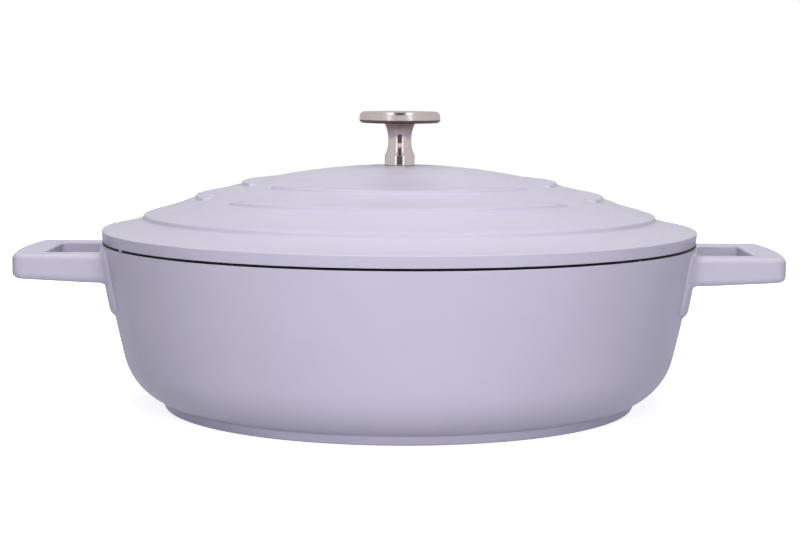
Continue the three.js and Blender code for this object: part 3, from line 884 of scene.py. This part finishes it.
def pad_distance(y, z):
    """Distance inside the edge of the pad, whose lower corners are rounder than its upper ones."""
    middle = PAD_TOP - PAD_HEIGHT / 2
    corner = np.where(z < middle, PAD_CORNER, PAD_TOP_CORNER)
    qy = np.abs(y) - PAD_HALF_WIDTH + corner
    qz = np.abs(z - middle) - PAD_HEIGHT / 2 + corner
    outside = np.hypot(np.maximum(qy, 0), np.maximum(qz, 0))
    return corner - outside - np.minimum(np.maximum(qy, qz), 0)


def pad_height(y, z):
    """How far the pad stands proud: level, with round edges that run into the wall."""
    edge = np.interp(PAD_TOP - z, (PAD_TOP_EDGE, 2 * PAD_TOP_EDGE), (PAD_TOP_EDGE, PAD_EDGE))
    edge = np.where(PAD_HALF_WIDTH - np.abs(y) < PAD_TOP - z, PAD_EDGE, edge)
    share = np.clip(pad_distance(y, z) / edge, 0, 1)
    return PAD_PROUD - (PAD_PROUD + PAD_SINK) * (1 - np.sqrt(1 - (1 - share) ** 2))


def pad_border(points):
    """Places of an arm's root points on the border of half the pad: corners go to corners."""
    low = PAD_TOP - PAD_HEIGHT

    def arc(z, radius, first):
        turns = np.radians(first + np.arange(0, 91, ROUND_STEP / 2))
        return np.column_stack([PAD_HALF_WIDTH - radius + radius * np.cos(turns), z + radius * np.sin(turns)])

    def ruler(line):
        return np.hstack([[0], np.cumsum(norm(np.diff(line, axis=0), axis=1))])

    lower = arc(low + PAD_CORNER, PAD_CORNER, 270)
    upper = arc(PAD_TOP - PAD_TOP_CORNER, PAD_TOP_CORNER, 0)
    middle = len(lower) // 2
    quarters = [
        np.vstack([[(0, low)], lower[: middle + 1]]),
        np.vstack([lower[middle:], upper[: middle + 1]]),
        np.vstack([upper[middle:], [(0, PAD_TOP)]]),
        np.array([(0.0, PAD_TOP), (0.0, low)]),
    ]
    period = len(points) // len(quarters)
    first = (period - len(SIDE_SHARES)) // 2
    border = np.zeros_like(points)
    for q, line in enumerate(quarters):
        index = (np.arange(period + 1) + q * period + first) % len(points)
        along, whole = ruler(points[index]), ruler(line)
        for axis in range(2):
            border[index, axis] = np.interp(along / along[-1] * whole[-1], whole, line[:, axis])
    return border


# Shares of the way from an arm's root to the border of the pad
PAD_RINGS = np.array((0, 0.12, 0.26, 0.42, 0.58, 0.7, 0.8, 0.87, 0.91, 0.94, 0.965, 0.985, 1.0))


def handle_piece(name, side):
    """A loop whose arms run with fillets into a pad on the wall; side is 1 at +X and -1 at -X."""
    half = loop_stations()
    mirror = np.array((1, -1, 1))
    stations = half + [ring * mirror for ring in half[-2::-1]]
    count = len(half[0])
    points = [np.vstack(stations)]
    faces = grid_faces(len(stations), count, close_columns=True)
    total = len(stations) * count
    y, z, out, rise, flare, _ = root_outline()
    root = np.column_stack([y + out * flare, z + rise * flare])
    border = pad_border(root)
    flats = [root + (border - root) * share for share in PAD_RINGS]
    for flip in (np.array((1, 1, 1)), mirror):
        front = [on_wall(p[:, 0], p[:, 1], pad_height(p[:, 0], p[:, 1])) * flip for p in flats]
        back = [on_wall(p[:, 0], p[:, 1], -PAD_SINK) * flip for p in flats]
        for sheet in (front, back):
            faces += (np.array(grid_faces(len(sheet), count, close_columns=True)) + total).tolist()
            if sheet is back:
                faces.append(tuple(total + i for i in range(count)))
            points.append(np.vstack(sheet))
            total += len(sheet) * count
    turn = np.array((side, side, 1))
    return make_piece(name, np.vstack(points) * turn, faces, [coat])


# Lid

def riser_share(depth):
    """Part of a lip's height at a depth inside its foot: a cove, a rounding and a flat shoulder."""
    cove, power = RISER - RISER_EDGE, 2.0
    low, over = np.clip(depth, 0, cove), np.clip(depth - cove, 0, RISER_EDGE)
    steep = cove / power * (low / cove) ** power + over - over**2 / (2 * RISER_EDGE)
    shoulder = 1 - (1 - np.clip(depth / SHOULDER, 0, 1)) ** 2
    return (1 - SHOULDER_SHARE) * steep / (cove / power + RISER_EDGE / 2) + SHOULDER_SHARE * shoulder


def lip_height(r, angle, radius, lip, run, broken):
    """A lip that drops at radius and fades inwards; a broken one has round-cornered ends."""
    inward = radius - r
    depth = inward
    if broken:
        period = 2 * pi / STEP_ARCS
        from_gap = np.abs(np.mod(angle, period) - period / 2) - radians(STEP_GAP_ANGLE / 2)
        beside = from_gap * r
        run = run * (STEP_END_RUN + (1 - STEP_END_RUN) * np.clip(beside / STEP_END_REACH, 0, 1))
        near_a, near_b = STEP_END_ROUND - inward, STEP_END_ROUND - beside
        corner = STEP_END_ROUND - np.hypot(np.maximum(near_a, 0), np.maximum(near_b, 0))
        depth = np.minimum(np.minimum(inward, beside), corner)
    fade = np.clip(1 - np.maximum(inward - RISER, 0) / (run - RISER), 0, 1) ** LIP_FADE
    return np.where(inward > 0, lip * riser_share(depth) * fade, 0)


def lid_top(r, angle):
    flat = np.maximum(r, KNOB_SEAT_RADIUS)
    edge = np.clip(1 - (LID_RADIUS - flat) / RIM_LIP_RUN, 0, 1)
    height = dome_height(flat) + RIM_LIP * edge**LIP_FADE
    for step in STEPS:
        height = height + lip_height(flat, angle, *step)
    return height


def lid_top_radii():
    """Rings of the lid's top: close together on the risers and at the ends of the lips."""
    edge = LID_OUTER - LID_EDGE_ROUND
    plain = np.arange(KNOB_SEAT_RADIUS + SEAT_MARGIN, edge, LID_PITCH)
    radii = [plain, (SCREW_HOLE_RADIUS, KNOB_SEAT_RADIUS, edge)]
    first, last, count = LIP_RINGS
    for radius, _, run, _ in STEPS:
        radii.append(radius - RISER * np.linspace(*RISER_RINGS))
        radii.append(radius - RISER + RISER_EDGE * np.linspace(*RISER_EDGE_RINGS))
        radii.append(radius - np.linspace(RISER * first, last * run, count))
    rings = np.unique(np.round(np.concatenate(radii), 3))
    rings = rings[rings <= edge]
    return rings[np.hstack([[True], np.diff(rings) > LID_LEAST_PITCH])]


def lid_angles():
    """Sections of the lid, from the front: close together where the arcs of the broken steps end."""
    period = 360 / STEP_ARCS
    half = STEP_GAP_ANGLE / 2
    start, middle, end = END_ANGLES
    close, wider, along, between = ANGLE_STEPS
    ends = np.hstack([np.arange(start, middle, close), np.arange(middle, end, wider)])
    wide = np.arange(half + end, period / 2, along)
    gap = np.arange(0, half - wider, between)
    one_side = np.hstack([gap, half + ends, wide])
    offsets = np.unique(np.round(np.hstack([one_side, -one_side]), 4))
    turns = np.hstack([period / 2 + offsets + n * period for n in range(STEP_ARCS)])
    return np.radians(np.unique(np.round(np.mod(turns, 360), 4)))


def lid_piece():
    angles = lid_angles()
    radii = lid_top_radii()
    tops = lid_top(radii[None, :], angles[:, None])
    edge_height = float(lid_top(LID_OUTER - LID_EDGE_ROUND, 0.0))
    band_foot, skirt_foot = LID_SEAT - LID_BAND_DROP, LID_SEAT - SKIRT_DEPTH
    lead = SKIRT_INNER_RADIUS - UNDERSIDE_LEAD
    rim = rounded([
        (LID_OUTER - LID_EDGE_ROUND - LID_EDGE_LEAD, edge_height, 0),
        (LID_OUTER, edge_height, LID_EDGE_ROUND),
        (LID_OUTER, band_foot, LID_BAND_EDGE),
        (SKIRT_RADIUS, band_foot, SKIRT_ROOT_EDGE),
        (SKIRT_RADIUS, skirt_foot, SKIRT_EDGE),
        (SKIRT_INNER_RADIUS, skirt_foot, SKIRT_EDGE),
        (SKIRT_INNER_RADIUS, float(lid_underside(SKIRT_INNER_RADIUS)), SKIRT_FILLET),
        (lead, float(lid_underside(lead)), 0),
    ])[2:-1]
    below = [(r, float(lid_underside(r))) for r in np.arange(SCREW_HOLE_RADIUS, lead, UNDERSIDE_PITCH)[::-1]]
    fixed = np.array([*rim, *below])
    band_top = edge_height - LID_EDGE_ROUND
    on_band = fixed[:, 0] > LID_OUTER - LID_BAND_DEPTH
    drafted = np.clip((band_top - fixed[:, 1]) / (band_top - LID_SEAT), 0, 1) * on_band
    fixed[:, 0] -= LID_BAND_DRAFT * drafted
    sections = [np.vstack([np.column_stack([radii, top]), fixed]) for top in tops]
    size = len(sections[0])
    middles = (sections[0] + np.roll(sections[0], -1, 0)) / 2
    inside = (middles[:, 0] < LID_OUTER - LID_BAND_DRAFT - LID_BAND_EDGE) & (np.arange(size) >= len(radii))
    kinds = np.tile(inside.astype(int), len(angles))
    points = around(sections, angles).reshape(-1, 3)
    return make_piece("lid_dome", points, grid_faces(len(angles), size, True, True), [coat, black], kinds)


def lid_lining_piece():
    inner, outer = WASHER_RADIUS + SEAT_GAP, SKIRT_INNER_RADIUS - SEAT_GAP
    radii = np.linspace(inner, outer, LINING_RINGS)
    upper = np.column_stack([radii, lid_underside(radii) - SEAT_GAP])
    lower = np.column_stack([radii, lid_underside(radii) - SEAT_GAP - LINING_THICKNESS])
    return turned("lid_inside", sharp([*upper, *lower[::-1]]), [black])


# Knob

LID_CROWN = float(lid_top(0.0, 0.0))
STEM_FOOT = LID_CROWN + SEAT_GAP
STEM_TOP = STEM_FOOT + STEM_HEIGHT
NECK_PAINTED_SHADE = (STEM_TOP - 8.0, STEM_TOP - 1.5)  # painted shade: the neck turns dark brown under the disc
DISC_FOOT = STEM_TOP + SEAT_GAP
SCREW_TIP = STEM_FOOT + SCREW_GRIP
WASHER_TOP = LID_CROWN - LID_WALL - SEAT_GAP
HEAD_TOP = WASHER_TOP - WASHER_THICKNESS - SEAT_GAP


def knob_stem_piece():
    collar = (STEM_BASE_RADIUS, STEM_FOOT + STEM_COLLAR_HEIGHT)
    neck = (STEM_NECK_RADIUS, STEM_TOP)
    low = STEM_FOOT - STEM_REACH * SEAT_GAP
    waist_height = STEM_FOOT + STEM_WAIST_HEIGHT
    waist = []
    for share in np.arange(1 - WAIST_STEPS, WAIST_STEPS + 1) / WAIST_STEPS:
        (end, height), power = (neck, STEM_UPPER_FLARE) if share > 0 else (collar, STEM_LOWER_FLARE)
        flare = (end - STEM_WAIST_RADIUS) * abs(share) ** power
        waist.append((STEM_WAIST_RADIUS + flare, waist_height + (height - waist_height) * abs(share)))
    corners = [
        (SCREW_HOLE_RADIUS, low, 0),
        (STEM_BASE_RADIUS, low, STEM_EDGE / 3),
        (*collar, STEM_EDGE),
        *sharp(waist[:-1]),
        (*neck, STEM_EDGE),
        (SPIGOT_RADIUS, STEM_TOP, 0),
        (SPIGOT_RADIUS, STEM_TOP + SPIGOT_HEIGHT, 0),
        (0, STEM_TOP + SPIGOT_HEIGHT, 0),
        (0, SCREW_TIP + SEAT_GAP, 0),
        (SCREW_HOLE_RADIUS, SCREW_TIP + SEAT_GAP, 0),
    ]
    polished = metal_material("polished_steel_shaded_neck", *POLISHED, painted_shade=NECK_PAINTED_SHADE)
    return turned("knob_pedestal", corners, [polished], KNOB_SEGMENTS)


def knob_disc_piece():
    socket, socket_top = SPIGOT_RADIUS + SEAT_GAP, STEM_TOP + SPIGOT_HEIGHT + SEAT_GAP
    top = DISC_FOOT + DISC_THICKNESS
    lower, brushed = DISC_FOOT + DISC_LOWER_EDGE, top - DISC_BRUSHED * DISC_EDGE
    corners = [
        (0, socket_top, 0),
        (socket, socket_top, 0),
        (socket, DISC_FOOT, 0),
        (DISC_RADIUS - DISC_LOWER_EDGE, DISC_FOOT, DISC_LOWER_ROUND),
        (DISC_RADIUS, lower, DISC_LOWER_ROUND),
        (DISC_RADIUS - DISC_TAPER, top - DISC_EDGE, DISC_UPPER_ROUND),
        (DISC_RADIUS - DISC_TAPER - DISC_EDGE, top, DISC_UPPER_ROUND),
        (0, top, 0),
    ]

    def finish(r, z):
        if r < DISC_RADIUS - DISC_LOWER_EDGE - DISC_BEVEL_DEPTH:
            return 0
        # the lower bevel and its rounding: dark tone as painted shade under the disc
        if z < lower + DISC_LOWER_ROUND:
            return 1
        return 2 if z > brushed else 0

    finishes = [knob_steel, blasted_steel_painted_shade, edge_steel]
    return turned("knob_grip", corners, finishes, KNOB_SEGMENTS, finish)


def washer_piece():
    low = WASHER_TOP - WASHER_THICKNESS
    corners = [
        (SCREW_HOLE_RADIUS, low, WASHER_EDGE),
        (WASHER_RADIUS, low, WASHER_EDGE),
        (WASHER_RADIUS, WASHER_TOP, WASHER_EDGE),
        (SCREW_HOLE_RADIUS, WASHER_TOP, WASHER_EDGE),
    ]
    return turned("fixing_washer", corners, [plate_steel], KNOB_SEGMENTS)


def screw_piece():
    """Pan-head screw with a cross recess, its head down."""
    low = HEAD_TOP - SCREW_HEAD_HEIGHT
    corners = [
        (0, low, 0),
        (SCREW_HEAD_RADIUS * SCREW_FACE, low, SCREW_ROUNDS[0]),
        (SCREW_HEAD_RADIUS, HEAD_TOP - SCREW_HEAD_HEIGHT / 2, SCREW_ROUNDS[1]),
        (SCREW_HEAD_RADIUS, HEAD_TOP, SCREW_ROUNDS[2]),
        (SCREW_RADIUS, HEAD_TOP, 0),
        (SCREW_RADIUS, SCREW_TIP - SCREW_RADIUS / 2, SCREW_TIP_ROUNDS[0]),
        (SCREW_RADIUS / 2, SCREW_TIP, SCREW_TIP_ROUNDS[1]),
        (0, SCREW_TIP, 0),
    ]
    screw = turned("fixing_screw", corners, [plate_steel], SCREW_SEGMENTS)
    half, reach = RECESS_WIDTH / 2, RECESS_REACH
    plan = [(half, -reach), (half, -half), (reach, -half), (reach, half), (half, half), (half, reach)]
    plan += [(-x, -y) for x, y in plan]
    mouth = [(x, y, low - RECESS_CUT) for x, y in plan]
    floor = [(RECESS_TAPER * x, RECESS_TAPER * y, low + RECESS_DEPTH) for x, y in plan]
    size = len(plan)
    faces = grid_faces(2, size, close_columns=True) + [tuple(range(size)), tuple(range(size, 2 * size))]
    cutter = make_piece("recess_cutter", mouth + floor, faces, [plate_steel])
    cut = screw.modifiers.new("recess", "BOOLEAN")
    cut.object = cutter
    cut.solver = "EXACT"
    graph = bpy.context.evaluated_depsgraph_get()
    carved = bpy.data.meshes.new_from_object(screw.evaluated_get(graph))
    screw.modifiers.clear()
    screw.data = carved
    bpy.data.objects.remove(cutter)
    for polygon in carved.polygons:
        polygon.use_smooth = polygon.area < SMOOTH_AREA
    return screw


dress(vessel_piece(), "pan", "coat", "vessel")
dress(pan_lining_piece(), "pan", "non_stick", "pan_lining")
dress(plate_piece(), "pan", "plate_steel", "induction_plate")
dress(plugs_piece(), "pan", "plate_steel")
dress(handle_piece("handle_right", 1), "pan", "coat", "right_handle")
dress(handle_piece("handle_left", -1), "pan", "coat", "left_handle")
dress(lid_piece(), "lid", "coat", "lid_shell")
dress(lid_lining_piece(), "lid", "non_stick", "lid_lining")
dress(knob_stem_piece(), "lid", "knob_steel", "knob_stem")
dress(knob_disc_piece(), "lid", "knob_steel", "knob_disc")
dress(washer_piece(), "lid", "plate_steel", "knob_washer")
dress(screw_piece(), "lid", "plate_steel", "knob_screw")


# Studio: a white floor, soft boxes, and a white surround with a dark slit in front, where the camera stands

FLOOR_FRONT = -0.45  # metres
FLOOR_BACK = 1.6
FLOOR_SIDE = 1.6
FLOOR_DROP = 0.0001
FLOOR_TOUCH = 0.0003  # light from nearer passes, so that the base shows from below
FLOOR_GLOW = (0.8, 1.0)  # shadeless share of the white, under the object and far away
FLOOR_FADE = (0.25, 1.0)  # distances between which it changes
FLOOR_TONE = 0.7
FLOOR_BOUNCE = 0.6  # tone for light on its way to the object
FLOOR_MIRRORED = 0.55
FLOOR_TINT = (0.95, 0.97, 1.2)
UNDER_LEVEL = 0.6  # of the light on the base from below
UNDER_RANGE = (-0.9, -0.6)  # upward parts of the directions where it fades
AMBIENT = 0.08
AMBIENT_TINT = (0.97, 1.0, 1.25)
SLIT_HALF_WIDTH = 0.34  # sideways part of the direction, at the horizon
SLIT_TAPER = 0.175  # and how much less it is overhead
SLIT_SOFT = 0.02
SLIT_FRONT = (0.1, 0.4)  # depths of the direction where it fades
SLIT_LEVEL = 0.12
SLIT_PATCH = (1.8, 20.0)  # elevations between which it is closed
SLIT_PATCH_FADE = (-0.12, 0.08)  # of its upper end
SLIT_PATCH_LEVEL = 0.95
SURROUND_LEVEL = 0.75  # of the white that metal mirrors
BACK_LEVEL = 0.62  # of the same behind the object
SURROUND_TINT = (0.99, 0.99, 1.02)


def empty_tree(block):
    block.use_nodes = True
    block.node_tree.nodes.clear()
    return block.node_tree


def mix_shaders(tree, share, first, second):
    return add_node(tree, "MixShader", share, first, second).outputs[0]


def by_ray(tree, seen, mirrored, others):
    """Shaders for what the camera sees, what the object mirrors and all other light."""
    path = add_node(tree, "LightPath").outputs
    glossy = math_node(tree, "MAXIMUM", path["Is Glossy Ray"], path["Is Transmission Ray"])
    return mix_shaders(tree, path["Is Camera Ray"], mix_shaders(tree, glossy, others, mirrored), seen)


def floor_piece():
    sides = ((-1, FLOOR_FRONT), (1, FLOOR_FRONT), (1, FLOOR_BACK), (-1, FLOOR_BACK))
    mesh = bpy.data.meshes.new("floor")
    mesh.from_pydata([(x * FLOOR_SIDE, y, -FLOOR_DROP) for x, y in sides], [], [(0, 1, 2, 3)])
    material = bpy.data.materials.new("white_floor")
    mesh.materials.append(material)
    tree = empty_tree(material)
    away = add_node(tree, "VectorMath", object_place(tree), settings={"operation": "LENGTH"})
    level = spread(tree, away.outputs["Value"], *FLOOR_GLOW, *FLOOR_FADE)
    shade = add_node(tree, "BsdfDiffuse", (FLOOR_TONE,) * 3).outputs[0]
    glow = add_node(tree, "Emission", NEUTRAL, level).outputs[0]
    seen = add_node(tree, "AddShader", shade, glow).outputs[0]
    bounce = add_node(tree, "BsdfDiffuse", (FLOOR_BOUNCE,) * 3).outputs[0]
    mirrored = add_node(tree, "Emission", FLOOR_TINT, FLOOR_MIRRORED).outputs[0]
    from_below = add_node(tree, "NewGeometry").outputs["Backfacing"]
    length = add_node(tree, "LightPath").outputs["Ray Length"]
    passing = math_node(tree, "MAXIMUM", from_below, math_node(tree, "LESS_THAN", length, FLOOR_TOUCH))
    clear = add_node(tree, "BsdfTransparent").outputs[0]
    whole = mix_shaders(tree, passing, by_ray(tree, seen, mirrored, bounce), clear)
    add_node(tree, "OutputMaterial", whole)
    floor = add_object("floor", mesh)


def white_surround():
    world = bpy.data.worlds.new("surround")
    bpy.context.scene.world = world
    tree = empty_tree(world)
    direction = add_node(tree, "TexCoord").outputs["Generated"]
    x, y, z = add_node(tree, "SeparateXYZ", direction).outputs
    taper = times(tree, z, SLIT_TAPER)
    beside = plus(tree, math_node(tree, "ABSOLUTE", x), taper)
    slit = spread(tree, beside, 1, 0, SLIT_HALF_WIDTH - SLIT_SOFT, SLIT_HALF_WIDTH + SLIT_SOFT)
    slit = times(tree, slit, spread(tree, y, 1, 0, *SLIT_FRONT))
    low, high = (sin(radians(a)) for a in SLIT_PATCH)
    above = spread(tree, z, 0, 1, low - SLIT_SOFT, low + SLIT_SOFT)
    below = spread(tree, z, 1, 0, *(high + part for part in SLIT_PATCH_FADE))
    patch = times(tree, above, below)
    slit_level = spread(tree, patch, SLIT_LEVEL, SLIT_PATCH_LEVEL, 0, 1)
    white_level = spread(tree, y, SURROUND_LEVEL, BACK_LEVEL, 0, 1)
    dark = times(tree, slit, slit_level)
    white = times(tree, spread(tree, slit, 1, 0, 0, 1), white_level)
    level = plus(tree, dark, white)
    ambient_level = spread(tree, z, UNDER_LEVEL, AMBIENT, *UNDER_RANGE)
    tones = ((NEUTRAL, 1.0), (SURROUND_TINT, level), (AMBIENT_TINT, ambient_level))
    shaders = [add_node(tree, "Background", *tone).outputs[0] for tone in tones]
    add_node(tree, "OutputWorld", by_ray(tree, *shaders))


# Soft boxes: azimuth from the front to the right and elevation in degrees; distance, width and height in
# metres; brightness, tint, and whether the object mirrors them
NEUTRAL = (1.0, 1.0, 1.0)
COOL = (1.0, 1.0, 1.045)
BLUE = (0.97, 0.985, 1.25)
WARM = (1.005, 1.0, 0.96)
WARMER = (1.01, 1.0, 0.89)
SOFT_BOXES = {
    "front_box": (0, 18, 1.0, 0.9, 0.3, 1.6, NEUTRAL, False),
    "low_box": (0, 3, 1.0, 0.9, 0.2, 1.1, COOL, False),
    "near_box": (0, 12, 0.7, 0.5, 0.25, 1.95, COOL, False),
    "right_box": (25, 12, 1.0, 0.5, 0.4, 1.0, COOL, False),
    "high_box": (0, 40, 1.1, 0.7, 0.5, 1.6, WARMER, False),
    "top_box": (0, 65, 1.0, 0.6, 0.6, 1.9, WARMER, False),
    "near_top_box": (0, 75, 0.7, 0.35, 0.35, 1.3, WARM, False),
    "zenith_box": (0, 88, 1.0, 0.7, 0.7, 1.85, WARM, False),
    "back_top_box": (180, 65, 1.0, 0.7, 0.6, 0.9, COOL, False),
    "back_box": (180, 10, 2.0, 1.8, 0.9, 2.5, BLUE, False),
    "left_strip": (-30, 16, 1.7, 0.27, 1.5, 0.95, NEUTRAL, True),
    "right_strip": (30, 16, 1.7, 0.27, 1.5, 0.95, NEUTRAL, True),
    "left_over": (-90, 77, 1.85, 1.6, 0.25, 1.3, NEUTRAL, True),
    "right_over": (90, 77, 1.85, 1.6, 0.25, 1.3, NEUTRAL, True),
}
AIM = Vector((0, 0, 0.06))


def soft_boxes():
    for name, (azimuth, elevation, distance, width, height, brightness, tint, mirrored) in SOFT_BOXES.items():
        light = bpy.data.lights.new(name, "AREA")
        light.shape = "RECTANGLE"
        light.size, light.size_y = width, height
        light.energy = brightness * pi * width * height
        light.color = tint
        lamp = add_object(name, light)
        turn, rise = radians(azimuth), radians(elevation)
        away = Vector((sin(turn) * cos(rise), -cos(turn) * cos(rise), sin(rise)))
        lamp.location = AIM + away * distance
        lamp.rotation_euler = away.to_track_quat("Z", "Y").to_euler()
        lamp.visible_camera = False
        lamp.visible_glossy = mirrored


def photo_camera():
    view = bpy.data.cameras.new("photo_camera")
    view.sensor_fit = "HORIZONTAL"
    view.sensor_width = SENSOR_WIDTH
    view.lens = FOCAL_PIXELS / IMAGE_WIDTH * SENSOR_WIDTH
    camera = add_object("photo_camera", view)
    tilt = Matrix.Rotation(radians(90 - CAMERA_TILT), 4, "X")
    roll = Matrix.Rotation(radians(CAMERA_ROLL), 4, "Z")
    turn = Matrix.Rotation(radians(CAMERA_AZIMUTH), 4, "Z")
    camera.matrix_world = turn @ Matrix.Translation(Vector(CAMERA_PLACE) * MM) @ tilt @ roll
    bpy.context.scene.camera = camera


floor_piece()
white_surround()
soft_boxes()
photo_camera()
bpy.context.scene.view_settings.view_transform = "Standard"
